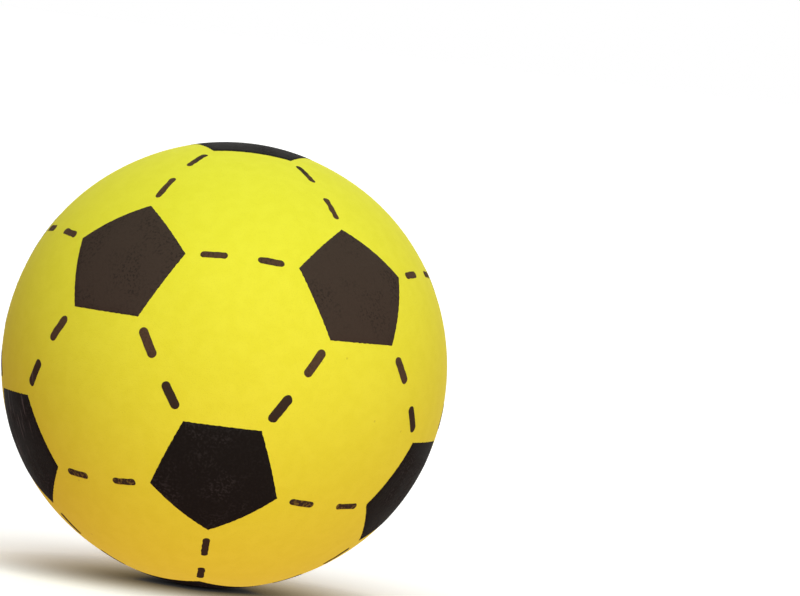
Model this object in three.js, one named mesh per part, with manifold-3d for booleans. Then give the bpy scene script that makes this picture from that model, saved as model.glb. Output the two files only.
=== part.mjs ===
// A printed sponge ball: one soft lump of moulded foam with a football print in dark ink.
// The print is twelve pentagons, at the corners of an icosahedron, and a row of short dashes
// on each line that runs from a pentagon's corner to the nearest corner of the next pentagon.
// In one bare panel at the lower back, the plug that closes the mould has left a shallow round groove.
// Millimetres, +Z up, -Y to the front. The ball rests on its lowest pentagon, at the origin.
import * as THREE from "three";
import { mergeVertices } from "three/addons/utils/BufferGeometryUtils.js";
import Module from "manifold-3d";

const wasm = await Module();
wasm.setup();

// Sizes of the ball
const BALL_DIAMETER = 200; // over the print
const CONTACT_DEPTH = 0.5; // how far the soft foam is pressed in where it rests

// Sizes of the print, those in the surface measured along the curve of the ball
const PRINT_THICKNESS = 0.3;
const PRINT_GAP = 0.3; // between the foam and the underside of a pentagon
const PENTAGON_REACH = 30; // from a pentagon's middle to its corners
const DASHES_PER_LINE = 2;
const SLANTING_DASH_LENGTH = 13.8; // over the round ends, on lines between the upper and the lower pentagons
const SLANTING_DASH_WIDTH = 4.3;
const LEVEL_DASH_LENGTH = 12; // on lines between two upper or two lower pentagons
const LEVEL_DASH_WIDTH = 3.2;
const POLE_DASH_LENGTH = 14; // on lines to the top and to the bottom pentagon
const POLE_DASH_WIDTH = 3;

// Sizes of the round groove that the mould's plug leaves in the foam
const PLUG_REACH = 29; // from the plug's middle to the groove, along the curve of the ball
const GROOVE_WIDTH = 1.6;
const GROOVE_DEPTH = 0.7;
const PLUG_PANEL = ["bottom", "lower_back_left", "lower_back_right"]; // the pentagons round the plug

// How finely round stretches are cut into facets
const FACETS_AROUND = 50;
const FACETS_UP = 24; // from the foot to the top, an even number
const FACETS_PER_DASH_END = 4; // an even number

// Finishes
const FOAM_FINISH = { color: 0xe6dd35, roughness: 0.85, metalness: 0 };
const INK_FINISH = { color: 0x352c25, roughness: 0.55, metalness: 0 };

// Radii that follow from the sizes
const printRadius = BALL_DIAMETER / 2;
const undersideRadius = printRadius - PRINT_THICKNESS;
const foamRadius = undersideRadius - PRINT_GAP;

// Angles of the layout, at the middle of the ball
const RING_LATITUDE = Math.atan(1 / 2); // of an icosahedron's upper five corners
const NEIGHBOUR_ANGLE = Math.atan(2); // from one corner of an icosahedron to the next
const PENTAGON_SIDES = 5;
const reachAngle = PENTAGON_REACH / printRadius;
const lineAngle = NEIGHBOUR_ANGLE - 2 * reachAngle; // the bare line between two pentagons' corners
const LEVEL_TOLERANCE = 0.01; // how near two heights on a ball of radius 1 are when level

// A closed geometry as a solid that can be joined and cut
function solidOf(geometry) {
  geometry.deleteAttribute("normal");
  geometry.deleteAttribute("uv");
  const closed = mergeVertices(geometry);
  const vertProperties = closed.attributes.position.array;
  const triVerts = new Uint32Array(closed.index.array);
  return new wasm.Manifold(new wasm.Mesh({ numProp: 3, vertProperties, triVerts }));
}

// A solid as a named mesh with its finish
function meshOf(name, solid, finish) {
  const { vertProperties, triVerts } = solid.getMesh();
  const geometry = new THREE.BufferGeometry();
  geometry.setAttribute("position", new THREE.BufferAttribute(vertProperties, 3));
  geometry.setIndex(new THREE.BufferAttribute(triVerts, 1));
  geometry.computeVertexNormals();
  const mesh = new THREE.Mesh(geometry, new THREE.MeshStandardMaterial(finish));
  mesh.name = name;
  return mesh;
}

// A ball with a flat foot: half its outline, from the middle of the foot up round to the top, turned about Z
function restingBall(radius) {
  const footHeight = CONTACT_DEPTH - radius;
  const footAngle = Math.asin(footHeight / radius);
  const outline = new THREE.Path();
  outline.moveTo(0, footHeight);
  outline.lineTo(radius * Math.cos(footAngle), footHeight);
  outline.absarc(0, 0, radius, footAngle, Math.PI / 2, false);
  const turned = new THREE.LatheGeometry(outline.getPoints(FACETS_UP / 2), FACETS_AROUND);
  return solidOf(turned.rotateX(Math.PI / 2));
}

// A place on the ball, as a unit vector: longitude is 0 at the front and grows to the right
function placeAt(longitude, latitude) {
  const level = Math.cos(latitude);
  const across = level * Math.sin(longitude);
  const back = -level * Math.cos(longitude);
  return new THREE.Vector3(across, back, Math.sin(latitude));
}

// Five places spread evenly round the ball at one latitude, with their names in order
function ring(latitude, firstLongitude, names) {
  const step = (2 * Math.PI) / names.length;
  return names.map((name, index) => ({ name, place: placeAt(firstLongitude + index * step, latitude) }));
}

// The twelve middles of the pentagons
function pentagonMiddles() {
  const lowerNames = ["lower_front", "lower_right", "lower_back_right", "lower_back_left", "lower_left"];
  const upperNames = ["upper_front_right", "upper_right", "upper_back", "upper_left", "upper_front_left"];
  const halfStep = Math.PI / upperNames.length;
  return [
    { name: "top", place: new THREE.Vector3(0, 0, 1) },
    ...ring(RING_LATITUDE, halfStep, upperNames),
    ...ring(-RING_LATITUDE, 0, lowerNames),
    { name: "bottom", place: new THREE.Vector3(0, 0, -1) },
  ];
}

// The direction along the ball from one place towards another
function heading(from, towards) {
  const along = towards.clone().addScaledVector(from, -towards.dot(from));
  return along.normalize();
}

// A turn that stands a shape's Z axis on the ball at a place, with its Y axis pointing along the ball
function standingAt(place, along) {
  const across = new THREE.Vector3().crossVectors(along, place);
  return new THREE.Matrix4().makeBasis(across, along, place);
}

// The wedge that cuts a pentagon out of a shell: a pyramid from the middle of the ball out past the print
function pentagonWedge(place, corner) {
  const height = BALL_DIAMETER;
  const pyramid = new THREE.ConeGeometry(height * Math.tan(reachAngle), height, PENTAGON_SIDES);
  pyramid.rotateX(-Math.PI / 2);
  pyramid.translate(0, 0, height / 2);
  return solidOf(pyramid.applyMatrix4(standingAt(place, corner)));
}

// The size of the dashes on the line between two pentagons
function dashSize(first, second) {
  const isLevel = (height, other) => Math.abs(height - other) < LEVEL_TOLERANCE;
  if ([first, second].some((place) => isLevel(Math.abs(place.z), 1))) {
    return { length: POLE_DASH_LENGTH, width: POLE_DASH_WIDTH };
  }
  if (isLevel(first.z, second.z)) {
    return { length: LEVEL_DASH_LENGTH, width: LEVEL_DASH_WIDTH };
  }
  return { length: SLANTING_DASH_LENGTH, width: SLANTING_DASH_WIDTH };
}

// The post that a dash is the end of: its outline, two half circles and the sides that join them, drawn out
function dashPost(place, along, { length, width }) {
  const endRadius = width / 2;
  const endOffset = length / 2 - endRadius;
  const outline = new THREE.Shape();
  outline.absarc(0, endOffset, endRadius, 0, Math.PI, false);
  outline.absarc(0, -endOffset, endRadius, Math.PI, 2 * Math.PI, false);
  const drawn = { depth: BALL_DIAMETER, bevelEnabled: false, curveSegments: FACETS_PER_DASH_END / 2 };
  const post = new THREE.ExtrudeGeometry(outline, drawn);
  return solidOf(post.applyMatrix4(standingAt(place, along)));
}

// Whether two pentagons lie next to each other: neighbours are under a quarter turn apart, all others over it
function areNeighbours(first, second) {
  return first !== second && first.dot(second) > 0;
}

// Every pair of neighbouring pentagons, each pair once
function neighbourPairs(places) {
  return places.flatMap((first, index) =>
    places
      .slice(index + 1)
      .filter((second) => areNeighbours(first, second))
      .map((second) => [first, second]),
  );
}

// The dashes on the line between two neighbouring pentagons, evenly spaced from corner to corner
function dashPosts([first, second]) {
  const start = heading(first, second);
  const size = dashSize(first, second);
  return Array.from({ length: DASHES_PER_LINE }, (_, index) => {
    const angle = reachAngle + (lineAngle * (index + 0.5)) / DASHES_PER_LINE;
    const place = first.clone().multiplyScalar(Math.cos(angle)).addScaledVector(start, Math.sin(angle));
    return dashPost(place, heading(place, second), size);
  });
}

// The middle of the bare panel between three neighbouring pentagons
function panelMiddle(corners) {
  return corners.reduce((sum, { place }) => sum.add(place), new THREE.Vector3()).normalize();
}

// The cutter of the plug's groove: a section with two radial walls, turned about the panel's middle
function plugGroove(corners) {
  const middleAngle = PLUG_REACH / foamRadius;
  const halfWidth = GROOVE_WIDTH / 2 / foamRadius;
  const floorRadius = foamRadius - GROOVE_DEPTH;
  const clearRadius = BALL_DIAMETER;
  const section = [
    [floorRadius, middleAngle - halfWidth],
    [floorRadius, middleAngle + halfWidth],
    [clearRadius, middleAngle + halfWidth],
    [clearRadius, middleAngle - halfWidth],
  ].map(([radius, angle]) => new THREE.Vector2(radius * Math.sin(angle), radius * Math.cos(angle)));
  const turned = new THREE.LatheGeometry([...section, section[0]], FACETS_AROUND);
  turned.rotateX(Math.PI / 2);
  const middle = panelMiddle(corners);
  return solidOf(turned.applyMatrix4(standingAt(middle, heading(middle, corners[0].place))));
}

// The foam, with its dashes standing on it as low pads as high as the print, and the plug's groove
function foamBall(middles, printedBall) {
  const posts = neighbourPairs(middles.map(({ place }) => place)).flatMap(dashPosts);
  const padded = posts.reduce((foam, post) => foam.add(printedBall.intersect(post)), restingBall(foamRadius));
  return padded.subtract(plugGroove(middles.filter(({ name }) => PLUG_PANEL.includes(name))));
}

// One printed pentagon: a curved film cut from the shell between the print's underside and its outside
function pentagonPrint(place, places, printedBall, underside) {
  const neighbour = places.find((other) => areNeighbours(place, other));
  const wedge = pentagonWedge(place, heading(place, neighbour));
  return printedBall.intersect(wedge).subtract(underside);
}

// The ball, lifted so that its foot stands on the ground
const middles = pentagonMiddles();
const places = middles.map(({ place }) => place);
const printedBall = restingBall(printRadius);
const underside = restingBall(undersideRadius);
const ball = new THREE.Group();
ball.position.z = printRadius - CONTACT_DEPTH;
ball.add(meshOf("foam_ball", foamBall(middles, printedBall), FOAM_FINISH));
for (const { name, place } of middles) {
  const film = pentagonPrint(place, places, printedBall, underside);
  ball.add(meshOf(`pentagon_print_${name}`, film, INK_FINISH));
}

const spongeBall = new THREE.Group();
spongeBall.add(ball);

export default spongeBall;
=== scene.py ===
# %% [markdown]
# # A printed sponge ball
# A sponge ball is one lump of soft moulded foam, a little smaller than a real football, with a football
# pattern printed on it in dark ink. It has no seams, panels or valve: the pentagons and the dashes between
# them are only ink, a few hundredths of a millimetre thick. So the likeness lies in three things. The first
# is how true the pattern sits on the ball, the second is how soft and matt the foam looks, and the third is
# how the ink takes the light. Each step below says what the real thing is before it builds it.

import bpy
import numpy as np
from mathutils import Matrix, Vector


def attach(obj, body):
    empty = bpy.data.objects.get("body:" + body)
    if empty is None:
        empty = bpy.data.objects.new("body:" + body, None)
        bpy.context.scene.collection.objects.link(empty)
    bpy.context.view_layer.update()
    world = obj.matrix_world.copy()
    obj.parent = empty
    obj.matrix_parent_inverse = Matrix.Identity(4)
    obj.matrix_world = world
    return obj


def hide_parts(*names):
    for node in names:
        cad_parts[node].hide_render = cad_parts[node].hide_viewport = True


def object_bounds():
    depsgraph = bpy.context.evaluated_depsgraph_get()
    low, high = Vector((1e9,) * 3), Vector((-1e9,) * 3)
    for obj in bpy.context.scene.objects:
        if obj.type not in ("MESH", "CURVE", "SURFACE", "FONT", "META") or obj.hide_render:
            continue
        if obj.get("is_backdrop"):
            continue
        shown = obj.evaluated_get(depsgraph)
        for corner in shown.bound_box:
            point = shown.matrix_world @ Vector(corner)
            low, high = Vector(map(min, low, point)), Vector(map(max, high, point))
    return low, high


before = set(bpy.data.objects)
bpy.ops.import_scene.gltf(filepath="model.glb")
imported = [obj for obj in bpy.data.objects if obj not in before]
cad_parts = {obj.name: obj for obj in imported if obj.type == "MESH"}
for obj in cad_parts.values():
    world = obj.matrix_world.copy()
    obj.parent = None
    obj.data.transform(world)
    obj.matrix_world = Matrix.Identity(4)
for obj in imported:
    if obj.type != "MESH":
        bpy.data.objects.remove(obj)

cad_low, cad_high = (np.array(corner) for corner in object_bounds())
print("solids' box in metres:", cad_low.round(4), cad_high.round(4))

# %% [markdown]
# ## Sizes from the frame
# The solids say how big the ball is. Soft foam gives a little under its own weight, so the ball stands on a
# small flat patch, and its height is its diameter less the depth of that patch. Working the radius out from
# the height keeps this file true to the solids if they are ever made in another size.

# %% The ball's radius and middle
MM = 0.001
CONTACT_DEPTH = 0.5 * MM

ball_radius = (cad_high[2] - cad_low[2] + CONTACT_DEPTH) / 2
ball_middle = np.array([0.0, 0.0, cad_high[2] - ball_radius])
print("ball radius in mm:", round(ball_radius / MM, 2), "middle:", ball_middle.round(4))

# %% [markdown]
# ## The camera
# A product picture of a ball is taken from far away with a long lens, so that its outline is a clean circle.
# The camera stands in front and a little above the middle. It is rolled about seven degrees, because the
# ball's print leans to the right in the picture. The ball isn't in the middle of the frame, so the camera
# is aimed beside it: the two pixel offsets, turned into metres at the ball, give the point to aim at.

# %% Camera
IMAGE_WIDTH, IMAGE_HEIGHT = 800, 596
BALL_PIXEL_X, BALL_PIXEL_Y = 224.6, 365.2  # the ball's middle, counted from the frame's top left corner
BALL_PIXEL_RADIUS = 223.6
SENSOR_WIDTH = 36.0
AZIMUTH, ELEVATION, ROLL = np.radians([-1.4, 3.15, 7.15])
DISTANCE = 38 * ball_radius  # from the ball's middle to the camera


def unit(vectors):
    """The same directions at length 1: each vector divided by its own length."""
    return vectors / np.linalg.norm(vectors, axis=-1, keepdims=True)


def add_camera():
    """A camera with its axes right, up and back, turned by azimuth and elevation and then rolled. It is aimed
    beside the ball by as much as the ball lies off the picture's middle."""
    reach = np.cos(ELEVATION)
    back = np.array([reach * np.sin(AZIMUTH), -reach * np.cos(AZIMUTH), np.sin(ELEVATION)])
    level = np.array([np.cos(AZIMUTH), np.sin(AZIMUTH), 0.0])
    steep = np.cross(back, level)
    right = np.cos(ROLL) * level + np.sin(ROLL) * steep
    up = np.cross(back, right)
    eye = ball_middle + DISTANCE * back

    metres_per_pixel = ball_radius / BALL_PIXEL_RADIUS
    aside = (IMAGE_WIDTH / 2 - BALL_PIXEL_X) * metres_per_pixel
    above = (BALL_PIXEL_Y - IMAGE_HEIGHT / 2) * metres_per_pixel
    back = unit(eye - (ball_middle + aside * right + above * up))
    right = unit(np.cross(up, back))
    up = np.cross(back, right)

    data = bpy.data.cameras.new("camera")
    data.sensor_width = SENSOR_WIDTH
    pixels_per_tangent = BALL_PIXEL_RADIUS * np.sqrt((DISTANCE / ball_radius) ** 2 - 1)
    data.lens = SENSOR_WIDTH * pixels_per_tangent / IMAGE_WIDTH
    camera = bpy.data.objects.new("camera", data)
    turned = np.eye(4)
    turned[:3] = np.column_stack([right, up, back, eye])
    camera.matrix_world = Matrix(turned.tolist())
    return camera


scene = bpy.context.scene
scene.view_settings.view_transform = "Standard"
scene.camera = add_camera()
scene.collection.objects.link(scene.camera)
print("lens in mm:", round(scene.camera.data.lens, 1), "at", round(DISTANCE, 2), "metres")

# %% [markdown]
# ## Writing materials as sums
# A material is a net of nodes, and a long net is hard to read. The class below wraps a node's socket, so
# that `1 - mask` or `grain * 0.3` adds the Math nodes by itself. Everything that isn't plain arithmetic comes
# from its one method `node`, which takes the kind of node, its settings, and what goes into its sockets.


# %% A wire that can be reckoned with
class Wire:
    """An output socket in a node tree. Arithmetic on it adds Math nodes."""

    def __init__(self, tree, socket=None):
        self.tree = tree
        self.socket = socket

    def node(self, kind, settings=None, inputs=None, output=0):
        """Adds a node: its settings come first, then the values or wires of its sockets. Gives one output."""
        made = self.tree.nodes.new("ShaderNode" + kind)
        for name, value in (settings or {}).items():
            setattr(made, name, value)
        for name, value in (inputs or {}).items():
            self.feed(made.inputs[name], value)
        return Wire(self.tree, made.outputs[output])

    def feed(self, socket, value):
        """Links a wire to a socket, or sets the socket to a plain value."""
        if isinstance(value, Wire):
            self.tree.links.new(value.socket, socket)
        else:
            socket.default_value = value

    def math(self, operation, *values):
        return self.node("Math", {"operation": operation}, dict(enumerate(values)))

    def __add__(self, other):
        return self.math("ADD", self, other)

    def __sub__(self, other):
        return self.math("SUBTRACT", self, other)

    def __rsub__(self, other):
        return self.math("SUBTRACT", other, self)

    def __mul__(self, other):
        return self.math("MULTIPLY", self, other)

    __radd__ = __add__
    __rmul__ = __mul__


# %% Patterns and sockets for the finishes
def step(value, low, high):
    """0 below low, 1 above high, and a smooth slope between."""
    settings = {"interpolation_type": "SMOOTHSTEP"}
    return value.node("MapRange", settings, {"Value": value, "From Min": low, "From Max": high})


def noise(place, size, detail=2.0):
    """Cloudy noise from 0 to 1, whose blots are about that size in metres."""
    return place.node("TexNoise", None, {"Vector": place, "Scale": 1 / size, "Detail": detail})


def cells(place, size, output):
    """Scattered cells of about that size in metres: the distance to a cell's middle, or its random colour."""
    return place.node("TexVoronoi", None, {"Vector": place, "Scale": 1 / size}, output)


def mixed(factor, first, second):
    """The first colour where factor is 0, the second where it is 1."""
    return factor.node("Mix", {"data_type": "RGBA"}, {0: factor, 6: first, 7: second}, output=2)


def bumped(height, distance, strength):
    """A surface direction tilted by a height pattern, whose steps from 0 to 1 are that distance in metres."""
    return height.node("Bump", None, {"Height": height, "Distance": distance, "Strength": strength})


def new_finish(name):
    """A new material, a wire to build its net with, and its shader."""
    material = bpy.data.materials.new(name)
    material.use_nodes = True
    return material, Wire(material.node_tree), material.node_tree.nodes["Principled BSDF"]


def set_shader(wire, shader, **sockets):
    """Feeds the shader's sockets, written with _ for each space in their names."""
    for name, value in sockets.items():
        wire.feed(shader.inputs[name.replace("_", " ")], value)


# %% [markdown]
# ## The foam's finish
# Moulded foam is coloured all through, and its outside is a closed, matt skin. From a step away it is an
# even lemon yellow. Close up it has cloudy patches where the skin is thicker, a fine grain of pores, and a
# few tiny pits where a bubble broke, and pores and pits get painted shade. A photograph wrapped round the
# ball would show a seam, so all of this is worked out from the place in space: Object coordinates, in metres,
# give the same grain on every side.

# %% Foam finish
CLOUD_SIZE, MOTTLE_SIZE, GRAIN_SIZE = 45 * MM, 6 * MM, 2.2 * MM
CLOUD_SHARE, MOTTLE_SHARE, GRAIN_SHARE = 0.3, 0.35, 0.35  # of each of these in the skin's thickness
BLOT_LEVELS = (0.3, 0.7)  # a cloud or a mottle comes in between these levels of its noise
PORE_SIZE, PIT_SPACING = 0.7 * MM, 14 * MM
PORE_EDGE, PIT_EDGE = (0.1, 0.45), (0.03, 0.06)  # where each fades out, in shares of its cell
PIT_LEVELS = (0.6, 0.62)  # only cells whose random colour is above these have a pit
PORE_SHADE, PIT_SHADE = 0.07, 0.25  # how much of the painted shade each shows
# the painted shade in the depth of pores and pits
PAINTED_HOLLOW_SHADE = (0.25, 0.18, 0.02, 1)
GRAIN_HEIGHT, PORE_DEPTH, PIT_DEPTH = 0.5, 0.35, 1.2  # in shares of the relief
FOAM_RELIEF, FOAM_RELIEF_STRENGTH = 0.12 * MM, 0.75
FOAM_ROUGHNESS, CLOUD_ROUGHNESS = 0.8, 0.12  # everywhere, and what a cloud adds to it
YELLOW, THICK_YELLOW = (0.745, 0.735, 0.028, 1), (0.797, 0.79, 0.042, 1)  # where the skin is thin, and thick
PALE_YELLOW, THICK_PALE_YELLOW = (0.83, 0.78, 0.10, 1), (0.86, 0.81, 0.16, 1)  # the same for trimmed foam


def foam_finish(name, colour, thick_colour):
    """Foam: two near colours by the skin's thickness, with painted shade in pores and pits, over a bump of
    grain, pores and pits."""
    material, wire, shader = new_finish(name)
    place = wire.node("TexCoord", output="Object")
    cloud = noise(place, CLOUD_SIZE, detail=3.0)
    mottle = noise(place, MOTTLE_SIZE, detail=1.0)
    grain = noise(place, GRAIN_SIZE, detail=3.0)
    pores = 1 - step(cells(place, PORE_SIZE, "Distance"), *PORE_EDGE)
    rare = step(cells(place, PIT_SPACING, "Color"), *PIT_LEVELS)
    pits = (1 - step(cells(place, PIT_SPACING, "Distance"), *PIT_EDGE)) * rare
    blots = step(cloud, *BLOT_LEVELS) * CLOUD_SHARE + step(mottle, *BLOT_LEVELS) * MOTTLE_SHARE
    body = mixed(blots + grain * GRAIN_SHARE, colour, thick_colour)
    # painted shade in pores and pits
    shade = mixed(pores * PORE_SHADE + pits * PIT_SHADE, body, PAINTED_HOLLOW_SHADE)
    roughness = FOAM_ROUGHNESS + CLOUD_ROUGHNESS * cloud
    height = grain * GRAIN_HEIGHT - pores * PORE_DEPTH - pits * PIT_DEPTH
    normal = bumped(height, FOAM_RELIEF, FOAM_RELIEF_STRENGTH)
    set_shader(wire, shader, Base_Color=shade, Roughness=roughness, Normal=normal)
    set_shader(wire, shader, Specular_IOR_Level=0.18, Sheen_Weight=0.02, Sheen_Roughness=0.6)
    return material


yellow_foam = foam_finish("yellow_foam", YELLOW, THICK_YELLOW)
trimmed_foam = foam_finish("trimmed_foam", PALE_YELLOW, THICK_PALE_YELLOW)
print("foam finishes:", yellow_foam.name, trimmed_foam.name)

# %% [markdown]
# ## Where the pentagons lie
# A football has twelve pentagons, and their middles are the corners of an icosahedron: one on top, one at
# the bottom, and two rings of five between, turned against each other by half a step. Each ring lies at a
# latitude whose tangent is one half. A pentagon's corners point straight at its five neighbours.

# %% The layout of the print
RING_LATITUDE = np.arctan(1 / 2)
NEIGHBOUR_ANGLE = np.arctan(2)  # from one pentagon's middle to the next, at the middle of the ball
SIDES = 5  # of a pentagon, and pentagons in a ring
NEARLY_ONE = 0.99  # the cosine of a place with itself is over this
LOWER_NAMES = ["lower_front", "lower_right", "lower_back_right", "lower_back_left", "lower_left"]
UPPER_NAMES = ["upper_front_right", "upper_right", "upper_back", "upper_left", "upper_front_left"]

UP, FRONT = np.array([0.0, 0.0, 1.0]), np.array([0.0, -1.0, 0.0])


def direction_at(longitude, latitude, axis=UP, start=FRONT):
    """Unit vectors on a globe about an axis: sin(latitude) along the axis and cos(latitude) across it, where
    longitude turns the part across from the start, to the right as seen from outside."""
    longitude, latitude = (angle[..., None] for angle in np.broadcast_arrays(longitude, latitude))
    across = np.cos(longitude) * start + np.sin(longitude) * np.cross(axis, start)
    return np.sin(latitude) * axis + np.cos(latitude) * across


half_step = np.pi / SIDES
turns = 2 * np.pi * np.arange(SIDES) / SIDES
middles = {"top": UP, "bottom": -UP}
middles |= dict(zip(UPPER_NAMES, direction_at(turns + half_step, RING_LATITUDE)))
middles |= dict(zip(LOWER_NAMES, direction_at(turns, -RING_LATITUDE)))


def neighbours(middle):
    """The five middles nearest to this one: under a quarter turn away, where the others are over it."""
    cosines = {name: other @ middle for name, other in middles.items()}
    return [middles[name] for name, cosine in cosines.items() if 0 < cosine < NEARLY_ONE]


def heading(middle, target):
    """The direction along the ball's surface from one place towards another."""
    return unit(target - middle * (middle @ target))


neighbour_counts = {len(neighbours(middle)) for middle in middles.values()}
print("pentagons:", len(middles), "each with", neighbour_counts, "neighbours")

# %% [markdown]
# ## The shape of the foam
# A foam ball comes out of its mould nearly round. It shrinks a little as it cures, a bit more here than
# there, and where it stands it is pressed flat. The mould is filled through a round hole, and the plug that
# closes the hole leaves a shallow ring, here in a bare panel at the lower back. A plain sphere would miss all
# three. So the surface is a function of a direction from the middle: a radius, plus a small sum of waves,
# less the groove of the ring, and then every point that would lie below the floor is lifted softly onto it.
# The ink uses the same function, so it lies on the foam everywhere.

# %% The foam's surface
FILM = 0.12 * MM  # thickness of the ink, more than the real one so that its edge shows
FOAM_DEPTH = 0.35 * MM  # from the ball's outside size down to the foam, so that waves and ink stay inside it
UNEVENNESS = 0.1 * MM
PRESS_SOFTNESS = 0.3 * MM
WAVES = 16
LEAST_PITCH, MOST_PITCH = 3, 14  # how far a wave's sine goes on over one radius, in radians
SEED = 7
random = np.random.default_rng(SEED)
wave_pitches = unit(random.normal(size=(WAVES, 3))) * random.uniform(LEAST_PITCH, MOST_PITCH, (WAVES, 1))
wave_phases = random.uniform(0, 2 * np.pi, WAVES)

PLUG_REACH = 29 * MM  # from the plug's middle to the groove, along the curve of the ball
GROOVE_DEPTH = 0.8 * MM
GROOVE_HALF_WIDTH = 0.8 * MM
plug_middle = unit(middles["bottom"] + middles["lower_back_left"] + middles["lower_back_right"])


def foam_surface(directions, lift=0.0):
    """Points on the foam, or that far above it. Radius: foam radius + lift + waves - groove. The waves are
    sines across the ball, each along its own pitch. The groove is depth * exp(-(distance from its middle /
    half width)^2). Height: z over the floor is replaced by half of z + root(z^2 + softness^2)."""
    waves = np.sin(directions @ wave_pitches.T + wave_phases).sum(axis=-1) / np.sqrt(WAVES / 2)
    from_groove = np.arccos(np.clip(directions @ plug_middle, -1, 1)) * ball_radius - PLUG_REACH
    groove = GROOVE_DEPTH * np.exp(-((from_groove / GROOVE_HALF_WIDTH) ** 2))
    radius = ball_radius - FOAM_DEPTH + UNEVENNESS * waves - groove + lift
    points = ball_middle + directions * radius[..., None]
    floor = FILM - lift
    over = points[..., 2] - floor
    points[..., 2] = floor + (over + np.sqrt(over**2 + PRESS_SOFTNESS**2)) / 2
    return points


print("foam surface:", WAVES, "waves, and a groove round", plug_middle.round(3))

# %% [markdown]
# ## From a grid of points to a closed skin
# The ball, the pentagons and the dashes are all skins of one kind. Rows of points go from one pole to the
# other, and every row runs once round. The first and the last row are single points, joined to their
# neighbours by a fan of triangles, and four-sided faces fill the rest. Two sides of a film that meet at its
# edge are one such skin too, with a pole in the middle of its underside and another in the middle of its top.


# %% Skins and pieces
def skin_faces(rows, columns, first):
    """Faces of a skin from its lower to its upper pole, counting points from first, all turned outwards."""
    here = np.arange(columns)
    beyond = np.roll(here, -1)
    starts = first + 1 + columns * np.arange(rows - 2)
    low, high = starts[:-1, None], starts[1:, None]
    between = np.stack([low + here, low + beyond, high + beyond, high + here], axis=-1).reshape(-1, 4)
    lower_pole = np.full(columns, first)
    upper_pole = np.full(columns, starts[-1] + columns)
    lower_fan = np.stack([lower_pole, starts[0] + beyond, starts[0] + here], axis=-1)
    upper_fan = np.stack([starts[-1] + here, starts[-1] + beyond, upper_pole], axis=-1)
    return lower_fan.tolist() + between.tolist() + upper_fan.tolist()


def skins(grids):
    """Points and faces of several skins, each a grid of rows, columns and coordinates, as one mesh."""
    points, faces, count = [], [], 0
    for grid in grids:
        whole_rows = grid[1:-1].reshape(-1, 3)
        points += [grid[0, :1], whole_rows, grid[-1, :1]]
        faces += skin_faces(grid.shape[0], grid.shape[1], count)
        count += len(whole_rows) + 2
    return np.concatenate(points), faces


SHARP = np.radians(40)  # faces that meet at more than this keep a sharp edge


def add_piece(name, points, faces, material, slot):
    """A smooth mesh object at the origin that moves with the ball's only body."""
    mesh = bpy.data.meshes.new(name)
    mesh.from_pydata(points, [], faces)
    mesh.shade_smooth()
    mesh.set_sharp_from_angle(angle=SHARP)
    mesh.materials.append(material)
    piece = bpy.data.objects.new(name, mesh)
    scene.collection.objects.link(piece)
    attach(piece, "root")
    return piece


# %% [markdown]
# ## The foam ball
# The grid is laid out like the lines on a globe, with its poles on the plug's axis. The groove then follows
# the rows, and a few more rows there give it a clean, round bottom. Faces get narrow towards a pole, but they
# lie on a smooth curve, so they don't show.

# %% Foam ball
FOAM_ROWS, GROOVE_ROWS, FOAM_COLUMNS = 190, 25, 320
GROOVE_SPREAD = 2.5  # how far the groove's own rows reach, in its half widths
ROW_MARGIN = 1.1  # the other rows start this much farther out

groove_latitude = np.pi / 2 - PLUG_REACH / ball_radius
groove_spread = GROOVE_SPREAD * GROOVE_HALF_WIDTH / ball_radius
even_rows = np.linspace(-np.pi / 2, np.pi / 2, FOAM_ROWS)
plain_rows = even_rows[np.abs(even_rows - groove_latitude) > ROW_MARGIN * groove_spread]
groove_rows = groove_latitude + groove_spread * np.linspace(-1, 1, GROOVE_ROWS)
latitudes = np.sort(np.concatenate([plain_rows, groove_rows]))[:, None]
longitudes = np.linspace(0, 2 * np.pi, FOAM_COLUMNS, endpoint=False)
ball_grid = foam_surface(direction_at(longitudes, latitudes, plug_middle, heading(plug_middle, UP)))
foam_ball = add_piece("foam_ball_moulding", *skins([ball_grid]), yellow_foam, "yellow_foam")
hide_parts("foam_ball")
print("foam ball:", len(foam_ball.data.polygons), "faces")

# %% [markdown]
# ## The mould line
# The mould closes along a great circle, and a thin fin of foam creeps into the gap. It is trimmed by hand,
# which leaves a broken line of pale specks that can hardly be felt. It could be painted on, but real height
# catches the light from every side. So it is a low band carried once round the ball, from the top down one
# side and up the other. Where it falls below the foam, the band dips under the surface and the line breaks.

# %% Mould line
LINE_STEPS = 1500
LINE_HALF_WIDTH = 0.45 * MM
LINE_HEIGHT = 0.07 * MM
LINE_SINK = 0.12 * MM  # how deep the band's edges lie in the foam, and its underside twice as deep
LINE_WAVES = 24
LEAST_WAVES, MOST_WAVES = 40, 420  # of one kind round the ball
CREST_LEVEL, CREST_CONTRAST = 0.3, 3  # how much of the line stands out, and how suddenly it breaks


def closed_band_faces(rows, columns):
    """Faces of a band that closes both ways, round its section and along its path, all turned outwards."""
    first = np.arange(rows)[:, None] * columns
    following = np.roll(first, -1, axis=0)
    here = np.arange(columns)[None, :]
    beyond = np.roll(here, -1)
    faces = np.stack([first + here, following + here, following + beyond, first + beyond], axis=-1)
    return faces.reshape(-1, 4).tolist()


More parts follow.
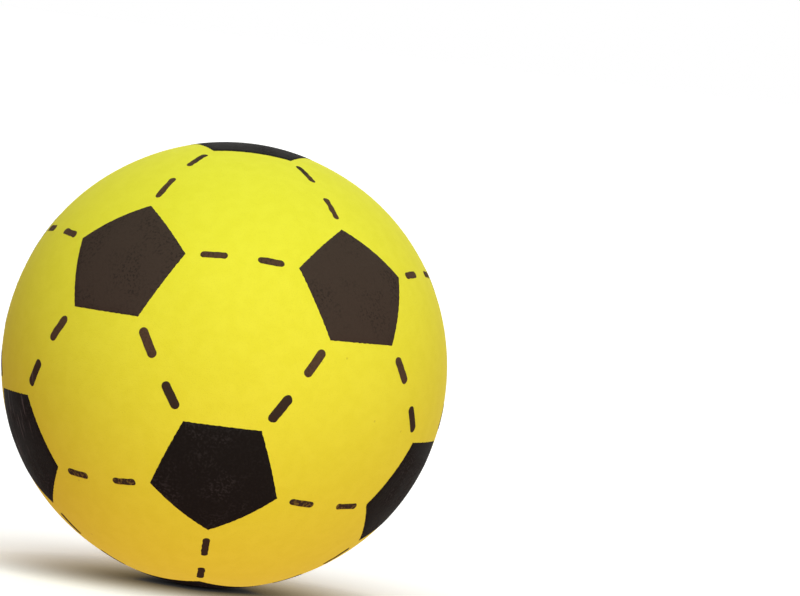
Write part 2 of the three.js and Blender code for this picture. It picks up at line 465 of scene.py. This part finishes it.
def mould_line():
    """A band round the ball. Across it the height is a hump, (1 - w^2) from edge to edge; along it a mean of
    seeded waves raises and lowers the hump, so that only its tops stand out of the foam."""
    along = np.linspace(0, 2 * np.pi, LINE_STEPS, endpoint=False)
    counts = random.integers(LEAST_WAVES, MOST_WAVES, LINE_WAVES)
    waves = np.sin(along[:, None] * counts + random.uniform(0, 2 * np.pi, LINE_WAVES)).mean(axis=1)
    crest = np.clip(CREST_LEVEL + CREST_CONTRAST * waves, -1, 1)
    across = np.array([-1, -0.5, 0, 0.5, 1, 0])  # five places over the hump, then the middle of the underside
    hump = np.append(1 - across[:-1] ** 2, 0)
    height = -LINE_SINK + np.outer(crest * LINE_HEIGHT + LINE_SINK, hump)
    height[:, -1] -= LINE_SINK
    path = np.stack([np.sin(along), np.zeros(LINE_STEPS), np.cos(along)], axis=-1)
    sideways = across[None, :, None] * LINE_HALF_WIDTH / ball_radius * -FRONT
    return foam_surface(unit(path[:, None, :] + sideways), height)


line_grid = mould_line()
line_faces = closed_band_faces(*line_grid.shape[:2])
add_piece("mould_line", line_grid.reshape(-1, 3), line_faces, trimmed_foam, "yellow_foam")
print("mould line:", len(line_faces), "faces")

# %% [markdown]
# ## The ink's finish
# The print is a flexible, matt, nearly black ink. It sinks into the pores, so its surface is a fine orange
# peel. The five pentagons of the upper ring are a paler brown than the rest: painted light from above, so
# the colour changes by height: at the ball's middle and again below the top pentagon. The dashes are small
# and take less ink, so they are brown all over, and paler in the upper ring by the same painted light. Where
# the pad skidded, between the lower pentagons, foam shows through them in streaks. In patches the pores show
# as a stipple: dark dots where the ink is thin, and pale dots where it is thick, partly painted glints of its
# grain. Low on the ball's left side the ink has fine pale streaks of painted sheen. A flat black would look
# like a hole in the ball.

# %% Ink finish
PEEL_SIZE, PATCH_SIZE, SHEEN_STREAK_SIZE, STREAK_SIZE = 1.1 * MM, 16 * MM, 1.8 * MM, 1.0 * MM
DOT_LEVELS, PATCH_LEVELS = (0.48, 0.66), (0.42, 0.66)  # each comes in between these levels of its noise
SHEEN_STREAK_LEVELS, STREAK_LEVELS = (0.58, 0.72), (0.5, 0.62)
SHEEN_STREAK_STRETCH = (0.15, 1, 0.15)  # small across and in height, so that blots are streaks down the ball's side
STREAK_STRETCH = (1, 1, 0.25)  # small in height, so that blots are streaks across a level dash
PAINTED_LIGHT_HEIGHTS = (0.0, 0.9)  # lowest and highest place of the upper ring's painted light, in radii above the middle
LOWER_LINES = (-0.57, -0.47)  # the same for the dashes between the lower ring's pentagons
PAINTED_SHEEN_HEIGHTS = (-0.8, 0.0)  # the same for the painted sheen
PAINTED_SHEEN_LEFT_EDGE = (-0.88, -0.78)  # the painted sheen fades out between these places across, in radii
THICK_INK = (0.0102, 0.0090, 0.0077, 1)
# paler inks: on the pentagons painted light on the upper ring; on the dashes thin ink, plus that painted
# light
PAINTED_LIGHT_PENTAGON_INK, THIN_AND_LIT_DASH_INK = (0.053, 0.0385, 0.0285, 1), (0.088, 0.053, 0.030, 1)
# pale dots: pores in thick ink and painted glints; the streak colour is painted sheen; bare foam is real
PALE_DOT_AND_GLINT, PAINTED_SHEEN, BARE_FOAM = (0.068, 0.066, 0.063, 1), (0.13, 0.125, 0.115, 1), (0.26, 0.19, 0.03, 1)
DARK_DOT_SHARE, PALE_DOT_AND_GLINT_SHARE, PAINTED_SHEEN_SHARE = 0.5, 0.28, 0.5  # how strongly each of them shows
INK_ROUGHNESS, PATCH_ROUGHNESS, PAINTED_SHEEN_ROUGHNESS = 0.66, 0.12, 0.1  # everywhere, and what each adds to it
PEEL_RELIEF, PEEL_STRENGTH = 0.35 * MM, 0.8


def at_heights(height, lowest, highest):
    """1 between two places, in radii above the ball's middle, and 0 outside, with soft edges 2 mm wide."""
    low, high = (ball_middle[2] + ball_radius * share for share in (lowest, highest))
    return step(height, low - MM, low + MM) * (1 - step(height, high - MM, high + MM))


def streaks(place, stretch, size, levels):
    """Noise drawn out along some axes, 0 below the lower level and 1 above the higher one."""
    drawn_out = place.node("Mapping", None, {"Vector": place, "Scale": stretch})
    return step(noise(drawn_out, size, detail=1.0), *levels)


def ink_finish(name, thin_and_lit_ink, painted_light_share, other_share, stippled, streaked):
    """Dark ink, a mix of thick and paler ink by the share of paler ink at the height of the upper ring, where
    it is painted light, and at other heights, with stipple in patches and that much of it outside them, that
    much of the foam showing in streaks, painted sheen at the left, and a bump of fine peel."""
    material, wire, shader = new_finish(name)
    place = wire.node("TexCoord", output="Object")
    across, height = (place.node("SeparateXYZ", None, {"Vector": place}, axis) for axis in "XZ")
    patch = step(noise(place, PATCH_SIZE), *PATCH_LEVELS)
    peel = noise(place, PEEL_SIZE)
    stipple = step(peel, *DOT_LEVELS) * (stippled + (1 - stippled) * patch)
    # share of paler ink: painted light on the upper ring, and for the dashes thin ink at all heights
    thin_and_lit = other_share + (painted_light_share - other_share) * at_heights(height, *PAINTED_LIGHT_HEIGHTS)
    body = mixed(thin_and_lit * (1 - DARK_DOT_SHARE * stipple), THICK_INK, thin_and_lit_ink)
    # pale dots where the ink is thick, partly painted glints of its grain
    dotted = mixed(stipple * (1 - thin_and_lit) * PALE_DOT_AND_GLINT_SHARE, body, PALE_DOT_AND_GLINT)
    if streaked:
        skidded = at_heights(height, *LOWER_LINES) * streaked
        streak = streaks(place, STREAK_STRETCH, STREAK_SIZE, STREAK_LEVELS)
        dotted = mixed(streak * skidded, dotted, BARE_FOAM)
    # pale streaks low on the left side: painted sheen
    at_left = 1 - step(across, *(share * ball_radius for share in PAINTED_SHEEN_LEFT_EDGE))
    sheen_place = at_left * at_heights(height, *PAINTED_SHEEN_HEIGHTS)
    painted_sheen = streaks(place, SHEEN_STREAK_STRETCH, SHEEN_STREAK_SIZE, SHEEN_STREAK_LEVELS) * sheen_place
    with_sheen = mixed(painted_sheen * PAINTED_SHEEN_SHARE, dotted, PAINTED_SHEEN)
    roughness = INK_ROUGHNESS + PATCH_ROUGHNESS * patch + PAINTED_SHEEN_ROUGHNESS * painted_sheen
    normal = bumped(peel, PEEL_RELIEF, PEEL_STRENGTH)
    set_shader(wire, shader, Base_Color=with_sheen, Roughness=roughness, Normal=normal, Specular_IOR_Level=0.015)
    return material


# the upper ring's share is painted light from above
pentagon_shares = {"painted_light_share": 0.92, "other_share": 0.02, "stippled": 0.15, "streaked": 0}
dash_shares = {"painted_light_share": 0.9, "other_share": 0.4, "stippled": 0.5, "streaked": 0.5}
dark_ink = ink_finish("dark_ink", PAINTED_LIGHT_PENTAGON_INK, **pentagon_shares)
dash_ink = ink_finish("dash_ink", THIN_AND_LIT_DASH_INK, **dash_shares)
print("ink finishes:", dark_ink.name, dash_ink.name)

# %% [markdown]
# ## A film of ink
# An ink film is drawn flat, as an outline in metres along and across the surface, and then laid on the ball.
# A point of the outline at some distance from the film's middle goes that same distance along the curve of
# the ball. Print is never quite sharp: its edge wanders by about a tenth of a millimetre as the ink creeps
# into the pores, and the film thins out there. So the outline is spaced evenly, nudged by seeded waves, and
# filled with rings of points from the edge to the middle, for the underside and for the top.

# %% Ink films
UNDERSIDE = -0.08 * MM  # the film's underside lies this far in the foam, so that no gap shows
EDGE_LIFT, EDGE_WIDTH = 0.3 * FILM, 0.15 * MM  # height at the film's edge, and how far in it is full height
EDGE_WAVES, FEWEST_ROUND = 8, 2  # kinds of waves in an edge, and the fewest of one kind round it
FEWEST_SHARE, MOST_SHARE = 0.5, 1.6  # how many waves of one kind there are, in shares of length over pitch


def evenly(outline, count):
    """As many points at even distances along a closed outline: its length from the start, interpolated."""
    closed = np.vstack([outline, outline[:1]])
    travelled = np.concatenate([[0], np.linalg.norm(np.diff(closed, axis=0), axis=1).cumsum()])
    stops = np.linspace(0, travelled[-1], count, endpoint=False)
    return np.stack([np.interp(stops, travelled, closed[:, axis]) for axis in range(2)], axis=-1)


def wandering(outline, depth, pitch):
    """The outline moved along its own outward direction by a sum of sines, with waves about pitch long."""
    tangent = unit(np.roll(outline, -1, axis=0) - np.roll(outline, 1, axis=0))
    outward = np.stack([tangent[:, 1], -tangent[:, 0]], axis=-1)
    length = np.linalg.norm(np.diff(outline, axis=0), axis=1).sum()
    shares = random.uniform(FEWEST_SHARE, MOST_SHARE, EDGE_WAVES)
    counts = np.maximum(FEWEST_ROUND, (length / pitch * shares).astype(int))
    phases = random.uniform(0, 2 * np.pi, EDGE_WAVES)
    around = np.linspace(0, 2 * np.pi, len(outline), endpoint=False)[:, None]
    waves = np.sin(around * counts + phases).sum(axis=1) / np.sqrt(EDGE_WAVES / 2)
    return outline + outward * depth * waves[:, None]


def film_grid(middle, along, outline, rings):
    """A film on the ball round a middle. A point of the flat outline, shrunk by its ring's share, lies at the
    angle length / radius from the middle: cos(angle) * middle + sin(angle) * the direction it points in."""
    shares = np.concatenate([np.linspace(0, 1, rings), np.linspace(1, 0, rings)])
    lifts = np.concatenate([np.full(rings, UNDERSIDE), [EDGE_LIFT], np.full(rings - 1, FILM)])
    shares[rings + 1] = 1 - EDGE_WIDTH / np.linalg.norm(outline, axis=1).mean()
    flat = shares[:, None, None] * outline[None] / ball_radius
    angle = np.linalg.norm(flat, axis=-1, keepdims=True)
    across = np.cross(middle, along)
    sideways = flat[..., :1] * along + flat[..., 1:] * across
    directions = np.cos(angle) * middle + np.sinc(angle / np.pi) * sideways
    return foam_surface(directions, lifts[:, None])


# %% [markdown]
# ## The pentagons
# Each side of a printed pentagon follows a great circle, the straightest line there is on a ball, so its
# corners are a little wider than on paper. Seen from the pentagon's middle, the edge lies at an angle whose
# tangent is that of the nearest side, divided by a cosine, as for straight lines. The ink spreads a little
# farther in the middle of a side than at the corners.

# %% Pentagon prints
PENTAGON_REACH = 30 * MM  # from the middle to a corner, along the curve of the ball
SIDE_POINTS, PENTAGON_RINGS = 64, 16
PENTAGON_DRAWN = 4000  # points of the outline before they are spaced evenly
PENTAGON_WANDER, PENTAGON_PITCH = 0.05 * MM, 4 * MM  # depth and length of the waves in its edge
SIDE_BULGE = 0.3 * MM


def pentagon_outline():
    """A pentagon of great circles, with a corner along the first axis: tan(edge) = tan(reach) * cos(36 deg) /
    cos(turn from the middle of the nearest side), and a bulge of 1 - (that turn / 36 deg)^2."""
    turn = np.linspace(0, 2 * np.pi, PENTAGON_DRAWN, endpoint=False)
    from_side = turn % (2 * half_step) - half_step
    reach = np.tan(PENTAGON_REACH / ball_radius) * np.cos(half_step)
    bulge = SIDE_BULGE * (1 - (from_side / half_step) ** 2)
    edge = np.arctan(reach / np.cos(from_side)) * ball_radius + bulge
    return np.stack([edge * np.cos(turn), edge * np.sin(turn)], axis=-1)


pentagon = evenly(pentagon_outline(), SIDES * SIDE_POINTS)
for name, middle in middles.items():
    along = heading(middle, neighbours(middle)[0])
    outline = wandering(pentagon, PENTAGON_WANDER, PENTAGON_PITCH)
    grid = film_grid(middle, along, outline, PENTAGON_RINGS)
    piece = add_piece(f"pentagon_ink_{name}", *skins([grid]), dark_ink, "dark_ink")
    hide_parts(f"pentagon_print_{name}")
print("pentagons:", len(middles), "pieces of", len(piece.data.polygons), "faces")

# %% [markdown]
# ## The dashes
# On each line from a pentagon's corner to its neighbour's there are two dashes, like stitches in a seam.
# The ones on slanting lines are bold and clean, with round ends. The others are thinner, and their edges are
# more ragged, because the ball curves away from the printing pad there. Every pentagon has five dashes round
# it, one beyond each corner, and these five are made as one piece. Seeded draws give every dash its own
# length, width and edge.

# %% Dash prints
SLANTING_DASH = (13.8 * MM, 4.3 * MM, 0.04 * MM)  # length, width and wander of the edge, between the rings
LEVEL_DASH = (12.0 * MM, 3.2 * MM, 0.07 * MM)  # on the lines within a ring
POLE_DASH = (14.0 * MM, 3.0 * MM, 0.09 * MM)  # on the lines to the top and the bottom
LEAST_SHARES, MOST_SHARES = (0.95, 0.95, 0.5), (1.05, 1.05, 1.5)  # of these three, from dash to dash
DASHES_PER_LINE = 2
DASH_PITCH = 5 * MM  # length of the waves in a dash's edge
DASH_POINTS, DASH_RINGS = 72, 5
DASH_DRAWN = 400  # points of the outline before they are spaced evenly

reach_angle = PENTAGON_REACH / ball_radius
dash_angle = reach_angle + (NEIGHBOUR_ANGLE - 2 * reach_angle) / (2 * DASHES_PER_LINE)


def dash_outline(length, width):
    """Two half circles and the straight sides between them: a circle, its two halves drawn apart."""
    turn = np.linspace(0, 2 * np.pi, DASH_DRAWN, endpoint=False)
    circle = np.stack([np.cos(turn), np.sin(turn)], axis=-1) * width / 2
    apart = np.sign(np.cos(turn)) * (length - width) / 2
    return circle + np.stack([apart, np.zeros_like(apart)], axis=-1)


def dash_size(middle, neighbour):
    """Length, width and wander of a dash, by the heights of the two pentagons that its line joins."""
    if max(abs(middle[2]), abs(neighbour[2])) > NEARLY_ONE:
        return POLE_DASH
    return LEVEL_DASH if np.isclose(middle[2], neighbour[2]) else SLANTING_DASH


def dash_grid(middle, neighbour):
    """One dash beyond a pentagon's corner, with its own length, width and edge."""
    length, width, wander = dash_size(middle, neighbour) * random.uniform(LEAST_SHARES, MOST_SHARES)
    outline = evenly(dash_outline(length, width), DASH_POINTS)
    outline = wandering(outline, wander, DASH_PITCH)
    towards = heading(middle, neighbour)
    place = np.cos(dash_angle) * middle + np.sin(dash_angle) * towards
    return film_grid(place, heading(place, neighbour), outline, DASH_RINGS)


for name, middle in middles.items():
    grids = [dash_grid(middle, neighbour) for neighbour in neighbours(middle)]
    add_piece(f"dash_ink_{name}", *skins(grids), dash_ink, "dark_ink")
print("dashes:", SIDES * len(middles), "in", len(middles), "pieces")

# %% [markdown]
# ## The floor
# The ball stands on plain white paper. To the camera the paper is white, so the background comes from its
# colour, and a glow stands for the rest of a white room. One Ambient Occlusion node takes that glow away
# round the ball, where less of the room can be seen, and another darkens the white close to where the ball
# touches the paper, so the shadow is darkest there. The light that the paper gives back to the ball is set
# by itself. It is warm, which is why the foam turns golden on its underside, and it is dim on the left, so
# that edge of the ball falls into shade.

# %% Floor
FLOOR_SIZE = 30.0
PAPER_WHITE, PAPER_GLOW = (0.97, 0.97, 0.97, 1), (0.32, 0.32, 0.32, 1)  # as the paper is seen
GIVEN_BACK, GIVEN_BACK_LEFT = (1.0, 0.62, 0.58, 1), (0.30, 0.04, 0.12, 1)  # its light on the ball
LEFT_SIDE = (-0.3, 0.0)  # that light falls off between these two places across, in metres
BLACK, WHITE = (0, 0, 0, 1), (1, 1, 1, 1)
ROOM_REACH, CONTACT_REACH = 1.0, 0.05  # how far away things still shade the glow, and the white


def seen_directly(wire):
    """1 for what the camera, a reflection or a clear piece shows, 0 for light on its way between surfaces."""
    names = ["Is Camera Ray", "Is Glossy Ray", "Is Transmission Ray"]
    camera, glossy, clear = (wire.node("LightPath", output=name) for name in names)
    return camera.math("MAXIMUM", camera, glossy.math("MAXIMUM", glossy, clear))


def shaded(wire, colour, reach):
    """A colour, darker where things within that reach in metres stand over the surface."""
    return wire.node("AmbientOcclusion", None, {"Color": colour, "Distance": reach})


def paper_finish():
    """Matt paper. Where it is seen, it is white and glows a little, less so under the ball. As a light on the
    ball it has colours of its own, from the dim left side to all the rest."""
    material, wire, shader = new_finish("floor_paper")
    seen = seen_directly(wire)
    place = wire.node("TexCoord", output="Object")
    across = place.node("SeparateXYZ", None, {"Vector": place}, "X")
    given_back = mixed(step(across, *LEFT_SIDE), GIVEN_BACK_LEFT, GIVEN_BACK)
    colour = mixed(seen, BLACK, shaded(wire, PAPER_WHITE, CONTACT_REACH))
    light = mixed(seen, given_back, shaded(wire, PAPER_GLOW, ROOM_REACH))
    set_shader(wire, shader, Base_Color=colour, Roughness=1.0, Specular_IOR_Level=0.0)
    set_shader(wire, shader, Emission_Color=light, Emission_Strength=1.0)
    return material


half = FLOOR_SIZE / 2
floor_mesh = bpy.data.meshes.new("floor")
corners = [(-half, -half, 0), (half, -half, 0), (half, half, 0), (-half, half, 0)]
floor_mesh.from_pydata(corners, [], [(0, 1, 2, 3)])
floor_mesh.materials.append(paper_finish())
floor = bpy.data.objects.new("floor", floor_mesh)
scene.collection.objects.link(floor)
floor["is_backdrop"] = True
print("floor:", FLOOR_SIZE, "metres square")

# %% [markdown]
# ## Light
# The light in a white tent comes from everywhere, and more of it from two large windows. The world is the
# tent. Each window is a Sun lamp with a very wide disc, one high in front and a weaker, lower one behind. A
# Sun lights the floor evenly however far away, where a lamp close by would leave the background grey.

# %% Light
TENT_STRENGTH = 0.26
TENT_COLOUR = (1.0, 0.82, 0.74, 1)
WINDOWS = {  # where each window's light comes from, its strength and its colour
    "front_window": ((0.03, -0.70, 0.68), 2.7, (0.915, 1.0, 0.98)),
    "back_window": ((0.10, 0.93, 0.35), 1.0, (1.0, 1.0, 1.0)),
}
WINDOW_WIDTH = np.radians(70)


def light_tent():
    """An even world: plain white at strength 1 where it is seen, warmer and dimmer as a light."""
    world = bpy.data.worlds.new("tent")
    world.use_nodes = True
    wire = Wire(world.node_tree)
    seen = seen_directly(wire)
    background = world.node_tree.nodes["Background"]
    wire.feed(background.inputs["Color"], mixed(seen, TENT_COLOUR, WHITE))
    wire.feed(background.inputs["Strength"], TENT_STRENGTH + (1 - TENT_STRENGTH) * seen)
    return world


def window_light(name, source, strength, colour):
    """A Sun lamp that shines along its own -Z axis, turned so that +Z points back to where it comes from."""
    data = bpy.data.lights.new(name, "SUN")
    data.energy = strength
    data.color = colour
    data.angle = WINDOW_WIDTH
    lamp = bpy.data.objects.new(name, data)
    back = unit(np.array(source))
    right = unit(np.cross(UP, back))
    turned = np.eye(4)
    turned[:3, :3] = np.column_stack([right, np.cross(back, right), back])
    lamp.matrix_world = Matrix(turned.tolist())
    return lamp


scene.world = light_tent()
for name, settings in WINDOWS.items():
    scene.collection.objects.link(window_light(name, *settings))
print("light: tent", TENT_STRENGTH, "and", len(WINDOWS), "windows")
